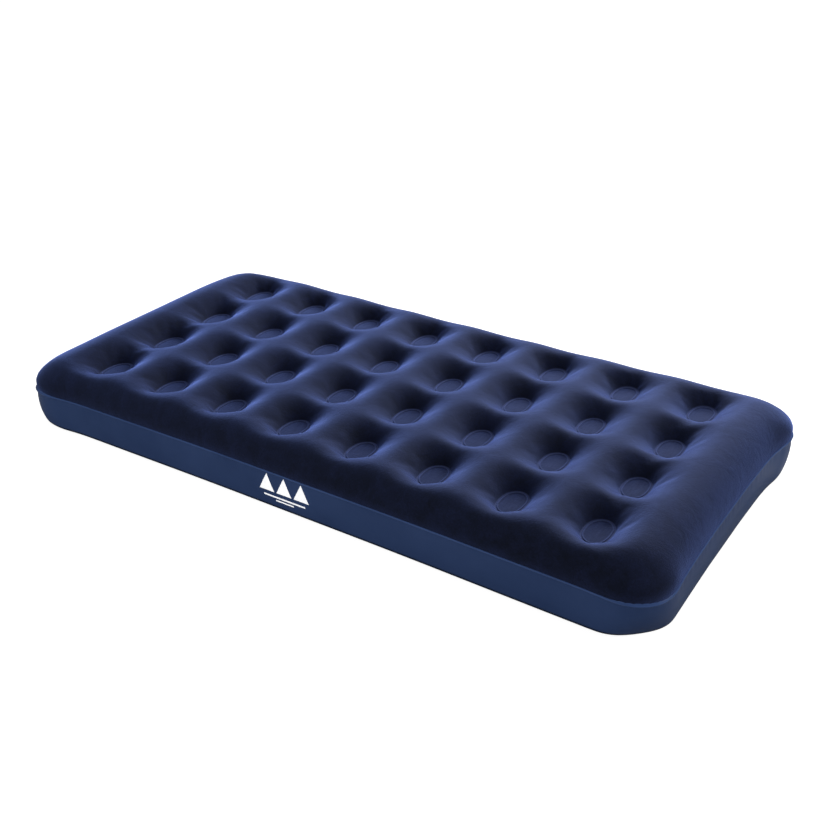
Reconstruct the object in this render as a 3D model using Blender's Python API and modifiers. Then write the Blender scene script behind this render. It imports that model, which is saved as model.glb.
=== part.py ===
"""Inflated single air mattress with a flocked top, coil beams and a two-stage valve.

Three welded sheets make the air chamber: a dimpled flocked top, a vinyl side wall and a
vinyl bottom.  Oval coil beams tie the top to the bottom under each dimple.  A screw-in
valve with a nozzle port, a plug on a strap and a non-return flap sits in the foot end.

Metres, +Z up, +X along the length, origin on the floor under the middle of the mattress.
"""
import math

import bmesh
import bpy

# ---- overall sizes -------------------------------------------------------------------
LENGTH = 1.88               # over the seam, inflated
WIDTH = 0.90                # over the seam, inflated
HEIGHT = 0.214              # floor to the crests of the top
SEAM_HEIGHT = 0.109         # floor to the lower edge of the flocked top
SHOULDER = 0.11             # plan radius of the corners, and how far the shoulder runs in
CLEARANCE = 0.0003          # between pieces that lie against each other

# ---- sheets --------------------------------------------------------------------------
TOP_THICKNESS = 0.0008      # vinyl and flock
WALL_THICKNESS = 0.0006
BOTTOM_THICKNESS = 0.0006
LAP = 0.010                 # overlap of the top sheet over the side wall
FOOT_INSET = 0.003          # how far the side wall draws in at the floor
FOOT_RADIUS = 0.135         # plan radius of the corners at the floor
FOOT_TURN_HEIGHT = 0.016    # where the side wall starts to draw in

# ---- weld grid and coil beams --------------------------------------------------------
COLUMNS = 8                 # along the length
ROWS = 4                    # across the width
END_MARGIN = 0.197          # end seam to the first column of welds
SIDE_MARGIN = 0.142         # side seam to the first row of welds
WELD_WIDTH = 0.066          # along the length
WELD_LENGTH = 0.109         # across the width
WELD_HEIGHT = 0.1515        # floor to the sunk weld floors
FUNNEL_RUN = 0.115          # from a weld's edge to the full height of the top
BEAM_FLANGE = 0.005         # flange of a beam beyond its tube
BEAM_THICKNESS = 0.0004
BEAM_MARGIN = 0.003         # from a beam's flange to the edge of its weld floor
AIR_HOLE_RADIUS = 0.006

# ---- valve ---------------------------------------------------------------------------
VALVE_OFFSET = 0.24         # from the centreline, on the -X end
VALVE_HEIGHT = 0.055        # floor to the valve's axis
SOCKET_BORE = 0.0205        # radius inside the welded base
SOCKET_WALL = 0.0027
SOCKET_DEPTH = 0.020        # from the wall's outer face inwards
FLANGE_WIDTH = 0.008        # of the base, beyond the socket
FLANGE_THICKNESS = 0.0015
THREAD_CLEARANCE = 0.0005   # stands in for the screw thread
GASKET_WIDTH = 0.0028
GASKET_THICKNESS = 0.0012
RIM_OVERHANG = 0.0045       # of the screw-in body's rim beyond its skirt
RIM_THICKNESS = 0.0034
RIM_CHAMFER = 0.001
PLATE_RECESS = 0.0004       # underside of the body's plate above the rim's underside
SKIRT_WALL = 0.0028
SKIRT_DEPTH = 0.016         # from the wall's outer face inwards
NOZZLE_BORE = 0.0053        # radius of the pump port
BOSS_WALL = 0.0027
BOSS_DEPTH = 0.010
GRIP_NOTCHES = 10
NOTCH_RADIUS = 0.0022
PLUG_HEAD_LAP = 0.0032      # plug's head beyond the bore
PLUG_THICKNESS = 0.0012     # head and strap
PLUG_FIT = 0.0003           # shank to bore at the mouth
PLUG_TAPER = 0.0008         # radius lost towards the tip
PLUG_DEPTH = 0.005          # shank below the body's face
PLUG_CORE = 0.0028          # radius of the recess in the plug's head
PLUG_CORE_DEPTH = 0.004
HINGE_SETBACK = 0.0045      # strap's hinge inside the rim's edge
STRAP_WIDTH = 0.006
PULL_TAB = 0.004            # tab beyond the plug's head
CHEEK_THICKNESS = 0.0016    # ears on each side of the strap's hinge
CHEEK_LENGTH = 0.0032
FLAP_LAP = 0.0025           # flap beyond the bore
FLAP_THICKNESS = 0.0008
FLAP_TAB_LENGTH = 0.001     # from the flap's disc to its hinge line
FLAP_ROOT_GAP = 0.0007      # flap's root behind its hinge line, so it swings past the clamp
FLAP_TAB_WIDTH = 0.007
LEDGE_THICKNESS = 0.004     # ledge on the boss that carries the flap's clamp
LEDGE_RECESS = 0.0002       # underside of the ledge above the boss's end
CLAMP_LENGTH = 0.002
CLAMP_THICKNESS = 0.0014

# ---- fineness ------------------------------------------------------------------------
CORNER_STEPS = 6
SHOULDER_ANGLES = (33.0, 55.0, 72.0)    # degrees from the crest, between weld edge and lap
CREST_SHARE = 0.4                       # of the funnel, where an extra grid line lies
LINE_SPACING = 0.006                    # least room between grid lines at the field's edge
BEAM_CAP_STEPS = 4
TURNED_STEPS = 24
HOLE_SIDES = 6
SINK = 0.0005                           # joined shapes run this far into each other

# ---- derived sizes -------------------------------------------------------------------
RISE = HEIGHT - SEAM_HEIGHT
FIELD_X = LENGTH / 2 - SHOULDER         # half sizes of the flat field inside the shoulder
FIELD_Y = WIDTH / 2 - SHOULDER
PITCH_X = (LENGTH - 2 * END_MARGIN) / (COLUMNS - 1)
PITCH_Y = (WIDTH - 2 * SIDE_MARGIN) / (ROWS - 1)
WALL_INSET = TOP_THICKNESS + CLEARANCE  # side wall behind the top sheet's outer face
COLUMN_CENTRES = [(i - (COLUMNS - 1) / 2) * PITCH_X for i in range(COLUMNS)]
ROW_CENTRES = [(i - (ROWS - 1) / 2) * PITCH_Y for i in range(ROWS)]
BASE_TOP = CLEARANCE + FLANGE_THICKNESS
GASKET_TOP = BASE_TOP + CLEARANCE + GASKET_THICKNESS
RIM_BOTTOM = GASKET_TOP + CLEARANCE
RIM_TOP = RIM_BOTTOM + RIM_THICKNESS
SKIRT_RADIUS = SOCKET_BORE - THREAD_CLEARANCE
RIM_RADIUS = SKIRT_RADIUS + RIM_OVERHANG
BOSS_RADIUS = NOZZLE_BORE + BOSS_WALL
PLUG_BOTTOM = RIM_TOP + CLEARANCE
PLUG_HEAD_RADIUS = NOZZLE_BORE + PLUG_HEAD_LAP
STRAP_REACH = RIM_RADIUS - HINGE_SETBACK    # valve axis to the strap's hinge
HINGE_LIFT = PLUG_BOTTOM + PLUG_THICKNESS / 2
FLAP_TOP = -BOSS_DEPTH - CLEARANCE
FLAP_RADIUS = NOZZLE_BORE + FLAP_LAP
FLAP_HINGE = FLAP_RADIUS + FLAP_TAB_LENGTH  # valve axis to the flap's hinge line
CLAMP_START = FLAP_HINGE + CLEARANCE
CLAMP_END = CLAMP_START + CLAMP_LENGTH


# ---- scene, collections and materials ------------------------------------------------
for old in list(bpy.data.objects):
    bpy.data.objects.remove(old, do_unlink=True)

parts = bpy.data.collections.new("air_mattress")
cutters = bpy.data.collections.new("cutters")
bpy.context.scene.collection.children.link(parts)
bpy.context.scene.collection.children.link(cutters)


def make_material(name, colour, roughness):
    """A plain finish; nothing on the mattress is metal."""
    material = bpy.data.materials.new(name)
    material.use_nodes = True
    shader = material.node_tree.nodes["Principled BSDF"]
    shader.inputs["Base Color"].default_value = (*colour, 1.0)
    shader.inputs["Roughness"].default_value = roughness
    shader.inputs["Metallic"].default_value = 0.0
    return material


flock_navy = make_material("flock_navy", (0.014, 0.021, 0.070), 0.95)
wall_vinyl = make_material("wall_vinyl", (0.019, 0.031, 0.079), 0.38)
bottom_vinyl = make_material("bottom_vinyl", (0.017, 0.027, 0.068), 0.45)
beam_vinyl = make_material("beam_vinyl", (0.030, 0.045, 0.095), 0.40)
valve_plastic = make_material("valve_plastic", (0.020, 0.032, 0.085), 0.35)
plug_plastic = make_material("plug_plastic", (0.024, 0.038, 0.100), 0.40)
seal_rubber = make_material("seal_rubber", (0.012, 0.012, 0.013), 0.60)
flap_rubber = make_material("flap_rubber", (0.55, 0.56, 0.55), 0.50)


def add_object(name, data, material, collection=parts, parent=None, location=(0, 0, 0)):
    thing = bpy.data.objects.new(name, data)
    collection.objects.link(thing)
    thing.parent = parent
    thing.location = location
    if material is not None:
        data.materials.append(material)
    return thing


def add_empty(name, parent, location, rotation=(0, 0, 0)):
    marker = bpy.data.objects.new(name, None)
    parts.objects.link(marker)
    marker.parent = parent
    marker.location = location
    marker.rotation_euler = rotation
    return marker


def mesh_from(bm, name):
    mesh = bpy.data.meshes.new(name)
    bm.to_mesh(mesh)
    bm.free()
    return mesh


def add_thickness(thing, thickness, even):
    """Solidify from the outer face inwards."""
    wall = thing.modifiers.new("thickness", "SOLIDIFY")
    wall.thickness = thickness
    wall.offset = -1.0
    wall.use_even_offset = even


def smooth(mesh):
    mesh.shade_smooth()
    mesh.set_sharp_from_angle(angle=math.radians(35))


# ---- outlines and lofts --------------------------------------------------------------
def rounded_outline(half_x, half_y, radius, shares_x, shares_y):
    """Rounded rectangle, counter-clockwise from above; shares run -1..1 along a straight."""
    centre_x = half_x - radius
    centre_y = half_y - radius
    sides = (
        [(share * centre_x, -half_y) for share in shares_x],
        [(half_x, share * centre_y) for share in shares_y],
        [(-share * centre_x, half_y) for share in shares_x],
        [(-half_x, -share * centre_y) for share in shares_y],
    )
    signs = ((1, -1), (1, 1), (-1, 1), (-1, -1))
    points = []
    for turn, (side, (sign_x, sign_y)) in enumerate(zip(sides, signs)):
        points.extend(side)
        for step in range(1, CORNER_STEPS):
            angle = math.radians(90.0 * (turn - 1 + step / CORNER_STEPS))
            x = sign_x * centre_x + radius * math.cos(angle)
            y = sign_y * centre_y + radius * math.sin(angle)
            points.append((x, y))
    return points


def obround(half_x, half_y, steps):
    """Long across the width, with half-round ends; counter-clockwise from above."""
    straight = half_y - half_x
    points = []
    for side in (1, -1):
        for step in range(steps + 1):
            angle = math.pi * step / steps
            x = side * half_x * math.cos(angle)
            y = side * (straight + half_x * math.sin(angle))
            points.append((x, y))
    return points


def ring_of(bm, points, height):
    return [bm.verts.new((x, y, height)) for x, y in points]


def bridge(bm, inner, outer):
    """Faces from one ring to the next, facing out; repeated points give triangles."""
    count = len(inner)
    for i in range(count):
        j = (i + 1) % count
        corners = [inner[i], outer[i], outer[j], inner[j]]
        if inner[i] is inner[j]:
            corners.pop()
        bm.faces.new(corners)


# ---- flocked top sheet ---------------------------------------------------------------
def grid_lines(centres, half_weld, pitch, limit):
    """Grid lines on each weld's edges, on the funnels and on the crests between welds."""
    gap = pitch / 2 - half_weld
    lines = {-limit, limit}
    for centre in centres:
        for side in (-1, 1):
            for offset in (half_weld, half_weld + CREST_SHARE * gap, pitch / 2):
                place = round(centre + side * offset, 6)
                if abs(place) < limit - LINE_SPACING:
                    lines.add(place)
    return sorted(lines)


def weld_distance(x, y):
    """From a point to the nearest sunk weld floor."""
    nearest = LENGTH
    for centre_x in COLUMN_CENTRES:
        for centre_y in ROW_CENTRES:
            beyond_x = max(abs(x - centre_x) - WELD_WIDTH / 2, 0.0)
            beyond_y = max(abs(y - centre_y) - WELD_LENGTH / 2, 0.0)
            nearest = min(nearest, math.hypot(beyond_x, beyond_y))
    return nearest


def top_height(x, y, shoulder_share):
    """Lower of the quarter-round funnel round a weld and the elliptical shoulder."""
    near = min(weld_distance(x, y) / FUNNEL_RUN, 1.0)
    funnel = WELD_HEIGHT + (HEIGHT - WELD_HEIGHT) * math.sqrt(1 - (1 - near) ** 2)
    shoulder = SEAM_HEIGHT + RISE * math.sqrt(max(1 - shoulder_share ** 2, 0.0))
    return min(funnel, shoulder)


def shoulder_shares():
    """How far out each ring of the shoulder lies, as a share of its run."""
    weld_edge = SHOULDER - SIDE_MARGIN + WELD_LENGTH / 2
    lap = math.sqrt(1 - (LAP / RISE) ** 2)
    middle = [math.sin(math.radians(angle)) for angle in SHOULDER_ANGLES]
    return [weld_edge / SHOULDER] + middle + [lap, 1.0]


def make_top_sheet():
    lines_x = grid_lines(COLUMN_CENTRES, WELD_WIDTH / 2, PITCH_X, FIELD_X)
    lines_y = grid_lines(ROW_CENTRES, WELD_LENGTH / 2, PITCH_Y, FIELD_Y)
    bm = bmesh.new()
    field = {}
    for x in lines_x:
        for y in lines_y:
            field[x, y] = bm.verts.new((x, y, top_height(x, y, 0.0)))
    for x0, x1 in zip(lines_x, lines_x[1:]):
        for y0, y1 in zip(lines_y, lines_y[1:]):
            bm.faces.new((field[x0, y0], field[x1, y0], field[x1, y1], field[x0, y1]))

    shares_x = [x / FIELD_X for x in lines_x]
    shares_y = [y / FIELD_Y for y in lines_y]
    corner = [None] * (CORNER_STEPS - 1)
    inner = [field[x, -FIELD_Y] for x in lines_x] + corner
    inner += [field[FIELD_X, y] for y in lines_y] + corner
    inner += [field[-x, FIELD_Y] for x in lines_x] + corner
    inner += [field[-FIELD_X, -y] for y in lines_y] + corner
    for i, vertex in enumerate(inner):
        if vertex is None:
            inner[i] = inner[i - 1]

    for share in shoulder_shares():
        run = SHOULDER * share
        points = rounded_outline(FIELD_X + run, FIELD_Y + run, run, shares_x, shares_y)
        outer = [bm.verts.new((x, y, top_height(x, y, share))) for x, y in points]
        bridge(bm, inner, outer)
        inner = outer
    mesh = mesh_from(bm, "top_sheet")
    smooth(mesh)
    sheet = add_object("top_sheet", mesh, flock_navy)
    add_thickness(sheet, TOP_THICKNESS, even=False)


# ---- side wall and bottom sheet ------------------------------------------------------
def wall_levels():
    """Height, inset from the seam's outline and corner radius, from the lap to the floor."""
    lap_inset = SHOULDER * (1 - math.sqrt(1 - (LAP / RISE) ** 2)) + WALL_INSET
    seam_radius = SHOULDER - WALL_INSET
    fall = (SEAM_HEIGHT - FOOT_TURN_HEIGHT) / SEAM_HEIGHT
    turn_radius = seam_radius + (FOOT_RADIUS - seam_radius) * fall
    return (
        (SEAM_HEIGHT + LAP, lap_inset, SHOULDER - lap_inset),
        (SEAM_HEIGHT, WALL_INSET, seam_radius),
        (FOOT_TURN_HEIGHT, WALL_INSET, turn_radius),
        (BOTTOM_THICKNESS + CLEARANCE, FOOT_INSET, FOOT_RADIUS),
    )


def make_side_wall():
    shares = (-1.0, -0.5, 0.0, 0.5, 1.0)
    bm = bmesh.new()
    upper = None
    for height, inset, radius in wall_levels():
        points = rounded_outline(LENGTH / 2 - inset, WIDTH / 2 - inset, radius, shares, shares)
        lower = ring_of(bm, points, height)
        if upper is not None:
            bridge(bm, upper, lower)
        upper = lower
    mesh = mesh_from(bm, "side_wall")
    smooth(mesh)
    wall = add_object("side_wall", mesh, wall_vinyl)
    add_thickness(wall, WALL_THICKNESS, even=True)
    hole = make_cylinder("valve_hole", SOCKET_BORE + SOCKET_WALL + CLEARANCE, SOCKET_DEPTH)
    hole.location = (-LENGTH / 2 + WALL_INSET, VALVE_OFFSET, VALVE_HEIGHT)
    hole.rotation_euler = (0, -math.pi / 2, 0)
    combine(wall, hole, "DIFFERENCE")


def make_bottom_sheet():
    outline = rounded_outline(
        LENGTH / 2 - FOOT_INSET, WIDTH / 2 - FOOT_INSET, FOOT_RADIUS, (-1, 1), (-1, 1))
    curve = bpy.data.curves.new("bottom_sheet", "CURVE")
    curve.dimensions = "2D"
    curve.fill_mode = "BOTH"
    curve.extrude = BOTTOM_THICKNESS / 2
    spline = curve.splines.new("POLY")
    spline.points.add(len(outline) - 1)
    spline.use_cyclic_u = True
    for point, (x, y) in zip(spline.points, outline):
        point.co = (x, y, 0.0, 1.0)
    add_object("bottom_sheet", curve, bottom_vinyl, location=(0, 0, BOTTOM_THICKNESS / 2))


# ---- cutters and joined shapes -------------------------------------------------------
def hide_as_cutter(thing):
    thing.hide_render = True
    thing.display_type = "WIRE"


def make_cylinder(name, radius, depth, sides=TURNED_STEPS, parent=None, location=(0, 0, 0)):
    bm = bmesh.new()
    bmesh.ops.create_cone(
        bm, cap_ends=True, segments=sides, radius1=radius, radius2=radius, depth=depth)
    thing = add_object(name, mesh_from(bm, name), None, cutters, parent, location)
    hide_as_cutter(thing)
    return thing


def make_box_mesh(name, size):
    bm = bmesh.new()
    bmesh.ops.create_cube(bm, size=1.0)
    bmesh.ops.scale(bm, vec=size, verts=bm.verts)
    return mesh_from(bm, name)


def make_box(name, size, parent, location):
    thing = add_object(name, make_box_mesh(name, size), None, cutters, parent, location)
    hide_as_cutter(thing)
    return thing


def combine(thing, other, operation):
    step = thing.modifiers.new(other.name, "BOOLEAN")
    step.operation = operation
    step.object = other
    step.solver = "EXACT"


# ---- coil beams ----------------------------------------------------------------------
def make_beam_mesh():
    """Oval tube with a flange at each end and one air hole, standing on the bottom sheet."""
    flange_x = WELD_WIDTH / 2 - BEAM_MARGIN
    flange_y = WELD_LENGTH / 2 - BEAM_MARGIN
    tube = obround(flange_x - BEAM_FLANGE, flange_y - BEAM_FLANGE, BEAM_CAP_STEPS)
    flange = obround(flange_x, flange_y, BEAM_CAP_STEPS)
    low = BOTTOM_THICKNESS + CLEARANCE
    high = WELD_HEIGHT - TOP_THICKNESS - CLEARANCE
    bm = bmesh.new()
    rings = (ring_of(bm, flange, high), ring_of(bm, tube, high),
             ring_of(bm, tube, low), ring_of(bm, flange, low))
    for upper, lower in zip(rings, rings[1:]):
        bridge(bm, lower, upper)
    mesh = mesh_from(bm, "coil_beam_pattern")
    smooth(mesh)
    pattern = add_object("coil_beam_pattern", mesh, beam_vinyl, cutters)
    hide_as_cutter(pattern)
    add_thickness(pattern, BEAM_THICKNESS, even=True)
    hole = make_cylinder("air_hole", AIR_HOLE_RADIUS, WELD_WIDTH, sides=HOLE_SIDES)
    hole.location = (flange_x + BEAM_MARGIN, 0, (low + high) / 2)
    hole.rotation_euler = (0, math.pi / 2, 0)
    combine(pattern, hole, "DIFFERENCE")
    depsgraph = bpy.context.evaluated_depsgraph_get()
    beam = bpy.data.meshes.new_from_object(pattern.evaluated_get(depsgraph))
    beam.name = "coil_beam"
    return beam


def make_coil_beams():
    beam = make_beam_mesh()
    number = 0
    for x in COLUMN_CENTRES:
        for y in ROW_CENTRES:
            number += 1
            copy = bpy.data.objects.new(f"coil_beam_{number:02d}", beam)
            parts.objects.link(copy)
            copy.location = (x, y, 0)


# ---- valve: turned pieces on one axis ------------------------------------------------
def make_turned(name, profile, material, parent, location=(0, 0, 0), closed=True):
    """Screw of (radius, height) points that run down the outer side."""
    mesh = bpy.data.meshes.new(name)
    count = len(profile)
    edges = [(i, i + 1) for i in range(count - 1)]
    if closed:
        edges.append((count - 1, 0))
    mesh.from_pydata([(radius, 0.0, height) for radius, height in profile], edges, [])
    thing = add_object(name, mesh, material, parent=parent, location=location)
    turn = thing.modifiers.new("turn", "SCREW")
    turn.steps = TURNED_STEPS
    turn.render_steps = TURNED_STEPS
    turn.use_merge_vertices = True
    turn.merge_threshold = 0.00001
    turn.use_smooth_shade = False
    return thing


def make_valve_base(axis):
    """Flange welded on the wall, with the socket that goes in through it."""
    socket_radius = SOCKET_BORE + SOCKET_WALL
    flange_radius = socket_radius + FLANGE_WIDTH
    make_turned("valve_base", [
        (SOCKET_BORE, BASE_TOP),
        (flange_radius, BASE_TOP),
        (flange_radius, CLEARANCE),
        (socket_radius, CLEARANCE),
        (socket_radius, -SOCKET_DEPTH),
        (SOCKET_BORE, -SOCKET_DEPTH),
    ], valve_plastic, axis)


def make_valve_gasket(axis):
    inner = SOCKET_BORE + THREAD_CLEARANCE
    low = BASE_TOP + CLEARANCE
    make_turned("valve_gasket", [
        (inner, GASKET_TOP),
        (inner + GASKET_WIDTH, GASKET_TOP),
        (inner + GASKET_WIDTH, low),
        (inner, low),
    ], seal_rubber, axis)


def make_grip_notches(axis):
    bm = bmesh.new()
    for i in range(GRIP_NOTCHES):
        angle = 2 * math.pi * (i + 0.5) / GRIP_NOTCHES
        made = bmesh.ops.create_cone(
            bm, cap_ends=True, segments=8, radius1=NOTCH_RADIUS, radius2=NOTCH_RADIUS,
            depth=4 * RIM_THICKNESS)
        reach = RIM_RADIUS + NOTCH_RADIUS / 2
        place = (reach * math.cos(angle), reach * math.sin(angle), RIM_BOTTOM + RIM_THICKNESS)
        bmesh.ops.translate(bm, vec=place, verts=made["verts"])
    notches = add_object("grip_notches", mesh_from(bm, "grip_notches"), None, cutters, axis)
    hide_as_cutter(notches)
    return notches


def make_valve_body(axis):
    """Screw-in body: notched rim, skirt, and a boss with the nozzle port."""
    plate_bottom = RIM_BOTTOM + PLATE_RECESS
    body = make_turned("valve_body", [
        (NOZZLE_BORE, RIM_TOP),
        (RIM_RADIUS - RIM_CHAMFER, RIM_TOP),
        (RIM_RADIUS, RIM_TOP - RIM_CHAMFER),
        (RIM_RADIUS, RIM_BOTTOM),
        (SKIRT_RADIUS, RIM_BOTTOM),
        (SKIRT_RADIUS, -SKIRT_DEPTH),
        (SKIRT_RADIUS - SKIRT_WALL, -SKIRT_DEPTH),
        (SKIRT_RADIUS - SKIRT_WALL, plate_bottom),
        (BOSS_RADIUS, plate_bottom),
        (BOSS_RADIUS, -BOSS_DEPTH),
        (NOZZLE_BORE, -BOSS_DEPTH),
    ], valve_plastic, axis)
    combine(body, make_grip_notches(axis), "DIFFERENCE")
    cheek_height = PLUG_THICKNESS + 2 * CLEARANCE + SINK
    for side, name in ((-1, "cheek_left"), (1, "cheek_right")):
        middle = side * (STRAP_WIDTH / 2 + CLEARANCE + CHEEK_THICKNESS / 2)
        cheek = make_box(
            name, (CHEEK_LENGTH, CHEEK_THICKNESS, cheek_height), axis,
            (STRAP_REACH, middle, RIM_TOP + cheek_height / 2 - SINK))
        combine(body, cheek, "UNION")
    ledge_start = NOZZLE_BORE + BOSS_WALL / 2
    ledge = make_box(
        "flap_ledge", (CLAMP_END - ledge_start, FLAP_TAB_WIDTH, LEDGE_THICKNESS), axis,
        ((ledge_start + CLAMP_END) / 2, 0, -BOSS_DEPTH + LEDGE_RECESS + LEDGE_THICKNESS / 2))
    combine(body, ledge, "UNION")


# ---- valve: plug and flap on their hinges --------------------------------------------
def make_plug(axis):
    """Tapered plug with a strap to its hinge and a pull tab on the far side."""
    hinge = add_empty("plug_hinge", axis, (STRAP_REACH, 0, HINGE_LIFT))
    mouth = NOZZLE_BORE - PLUG_FIT
    top = PLUG_BOTTOM + PLUG_THICKNESS
    tip = RIM_TOP - PLUG_DEPTH
    plug = make_turned("inflation_plug", [
        (0.0, top - PLUG_CORE_DEPTH),
        (PLUG_CORE, top - PLUG_CORE_DEPTH),
        (PLUG_CORE, top),
        (PLUG_HEAD_RADIUS, top),
        (PLUG_HEAD_RADIUS, PLUG_BOTTOM),
        (mouth, PLUG_BOTTOM),
        (mouth - PLUG_TAPER, tip),
        (0.0, tip),
    ], plug_plastic, hinge, (-STRAP_REACH, 0, -HINGE_LIFT), closed=False)
    strap_start = PLUG_CORE + SINK
    strap_end = STRAP_REACH + PLUG_THICKNESS / 3
    strap = make_box(
        "plug_strap", (strap_end - strap_start, STRAP_WIDTH, PLUG_THICKNESS), axis,
        ((strap_start + strap_end) / 2, 0, HINGE_LIFT))
    combine(plug, strap, "UNION")
    tab_end = PLUG_HEAD_RADIUS + PULL_TAB
    tab = make_box(
        "plug_tab", (tab_end - strap_start, STRAP_WIDTH, PLUG_THICKNESS), axis,
        (-(strap_start + tab_end) / 2, 0, HINGE_LIFT))
    combine(plug, tab, "UNION")


def make_flap(axis):
    """Non-return flap: a disc under the boss with a tab up to its hinge line."""
    hinge = add_empty("flap_hinge", axis, (FLAP_HINGE, 0, FLAP_TOP))
    half_tab = FLAP_TAB_WIDTH / 2
    start = math.asin(half_tab / FLAP_RADIUS)
    outline = [(-FLAP_ROOT_GAP, -half_tab), (-FLAP_ROOT_GAP, half_tab)]
    for step in range(TURNED_STEPS + 1):
        angle = start + (2 * math.pi - 2 * start) * step / TURNED_STEPS
        x = FLAP_RADIUS * math.cos(angle) - FLAP_HINGE
        outline.append((x, FLAP_RADIUS * math.sin(angle)))
    curve = bpy.data.curves.new("check_flap", "CURVE")
    curve.dimensions = "2D"
    curve.fill_mode = "BOTH"
    curve.extrude = FLAP_THICKNESS / 2
    spline = curve.splines.new("POLY")
    spline.points.add(len(outline) - 1)
    spline.use_cyclic_u = True
    for point, (x, y) in zip(spline.points, outline):
        point.co = (x, y, 0.0, 1.0)
    add_object("check_flap", curve, flap_rubber, parent=hinge,
               location=(0, 0, -FLAP_THICKNESS / 2))


def make_flap_clamp(axis):
    """Strip that holds the flap's root against the ledge."""
    size = (CLAMP_LENGTH, FLAP_TAB_WIDTH, CLAMP_THICKNESS)
    add_object("flap_clamp", make_box_mesh("flap_clamp", size), valve_plastic, parent=axis,
               location=((CLAMP_START + CLAMP_END) / 2, 0, FLAP_TOP - CLAMP_THICKNESS / 2))


def make_valve():
    """Everything on the valve's axis, which points out of the -X end, local +X up."""
    axis = add_empty(
        "valve_axis", None, (-LENGTH / 2 + WALL_INSET, VALVE_OFFSET, VALVE_HEIGHT),
        rotation=(0, -math.pi / 2, 0))
    make_valve_base(axis)
    make_valve_gasket(axis)
    make_valve_body(axis)
    make_plug(axis)
    make_flap(axis)
    make_flap_clamp(axis)


make_top_sheet()
make_side_wall()
make_bottom_sheet()
make_coil_beams()
make_valve()
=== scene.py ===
import math

import bmesh
import bpy
import numpy as np
from mathutils import Matrix, Quaternion, Vector


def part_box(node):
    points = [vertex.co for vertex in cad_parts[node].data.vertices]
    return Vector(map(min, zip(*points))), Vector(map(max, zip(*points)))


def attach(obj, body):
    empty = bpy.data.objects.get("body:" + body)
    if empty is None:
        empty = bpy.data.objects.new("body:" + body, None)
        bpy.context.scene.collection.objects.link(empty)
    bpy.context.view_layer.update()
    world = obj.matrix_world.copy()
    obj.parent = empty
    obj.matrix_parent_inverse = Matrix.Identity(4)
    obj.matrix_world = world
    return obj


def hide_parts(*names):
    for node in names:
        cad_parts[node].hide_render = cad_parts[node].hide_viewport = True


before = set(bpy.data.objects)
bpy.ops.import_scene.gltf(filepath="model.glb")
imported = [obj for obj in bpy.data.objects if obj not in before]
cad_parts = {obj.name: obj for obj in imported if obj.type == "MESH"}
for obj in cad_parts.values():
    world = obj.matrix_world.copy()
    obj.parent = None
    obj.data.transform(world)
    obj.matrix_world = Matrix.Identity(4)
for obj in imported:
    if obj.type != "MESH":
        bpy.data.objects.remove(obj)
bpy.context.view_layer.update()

# ---------------------------------------------------------------------------------------------
# The setting: a white studio floor, a camera a little above the bed's front right corner, and
# soft lamps. The main one hangs behind the bed and grazes the flock from there.
# ---------------------------------------------------------------------------------------------
scene = bpy.context.scene
scene.view_settings.view_transform = "Standard"

camera_aim = Vector((0.0551, 0.0026, 0.1))
camera_distance = 3.0037
camera_turn = 0.5904                    # radians, from the bed's front to its right
camera_rise = 0.5008                    # radians over the ground
camera_roll = -0.0151
camera = bpy.data.objects.new("studio_camera", bpy.data.cameras.new("studio_camera"))
scene.collection.objects.link(camera)
camera.data.sensor_width = 36
camera.data.lens = 48.2
camera_back = Vector((math.sin(camera_turn) * math.cos(camera_rise),
                      -math.cos(camera_turn) * math.cos(camera_rise),
                      math.sin(camera_rise)))
camera_look = camera_back.to_track_quat("Z", "Y") @ Quaternion((0, 0, 1), camera_roll)
camera_place = camera_aim + camera_back * camera_distance
camera.matrix_world = Matrix.LocRotScale(camera_place, camera_look, None)
scene.camera = camera


def new_finish(name, sockets):
    """Starts a material: the material, its node tree, and its shader with these plain values."""
    finish = bpy.data.materials.new(name)
    finish.use_nodes = True
    shader = finish.node_tree.nodes["Principled BSDF"]
    for socket, value in sockets.items():
        shader.inputs[socket].default_value = value
    return finish, finish.node_tree, shader


def add_step(tree, kind, sockets=None, **settings):
    """Adds a step to a finish, with its settings and the values of its sockets."""
    step = tree.nodes.new(kind)
    for name, value in settings.items():
        setattr(step, name, value)
    for socket, value in (sockets or {}).items():
        step.inputs[socket].default_value = value
    return step


def wire(tree, *runs):
    """Joins steps: each run goes from a step's output to a step's socket."""
    for start, output, end, socket in runs:
        tree.links.new(start.outputs[output], end.inputs[socket])


# The floor shines for the camera only, so that it stays white and doesn't light the bed's sides.
bpy.ops.object.select_all(action="DESELECT")
bpy.ops.mesh.primitive_plane_add(size=60, location=(0, 0, -0.0005))
floor = bpy.context.object
floor.name = "studio_floor"
floor_paint, floor_tree, floor_shader = new_finish("white_floor", {
    "Base Color": (0.42, 0.42, 0.42, 1), "Roughness": 0.9, "Emission Color": (1, 1, 1, 1)})
floor_sight = add_step(floor_tree, "ShaderNodeLightPath")
floor_glow = add_step(floor_tree, "ShaderNodeMath", {1: 0.92}, operation="MULTIPLY")
wire(floor_tree,
     (floor_sight, "Is Camera Ray", floor_glow, 0),
     (floor_glow, "Value", floor_shader, "Emission Strength"))
floor.data.materials.append(floor_paint)

world = bpy.data.worlds.new("studio_white")
scene.world = world
world.use_nodes = True
world.node_tree.nodes["Background"].inputs["Color"].default_value = (1, 1, 1, 1)
world.node_tree.nodes["Background"].inputs["Strength"].default_value = 0.24


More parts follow.
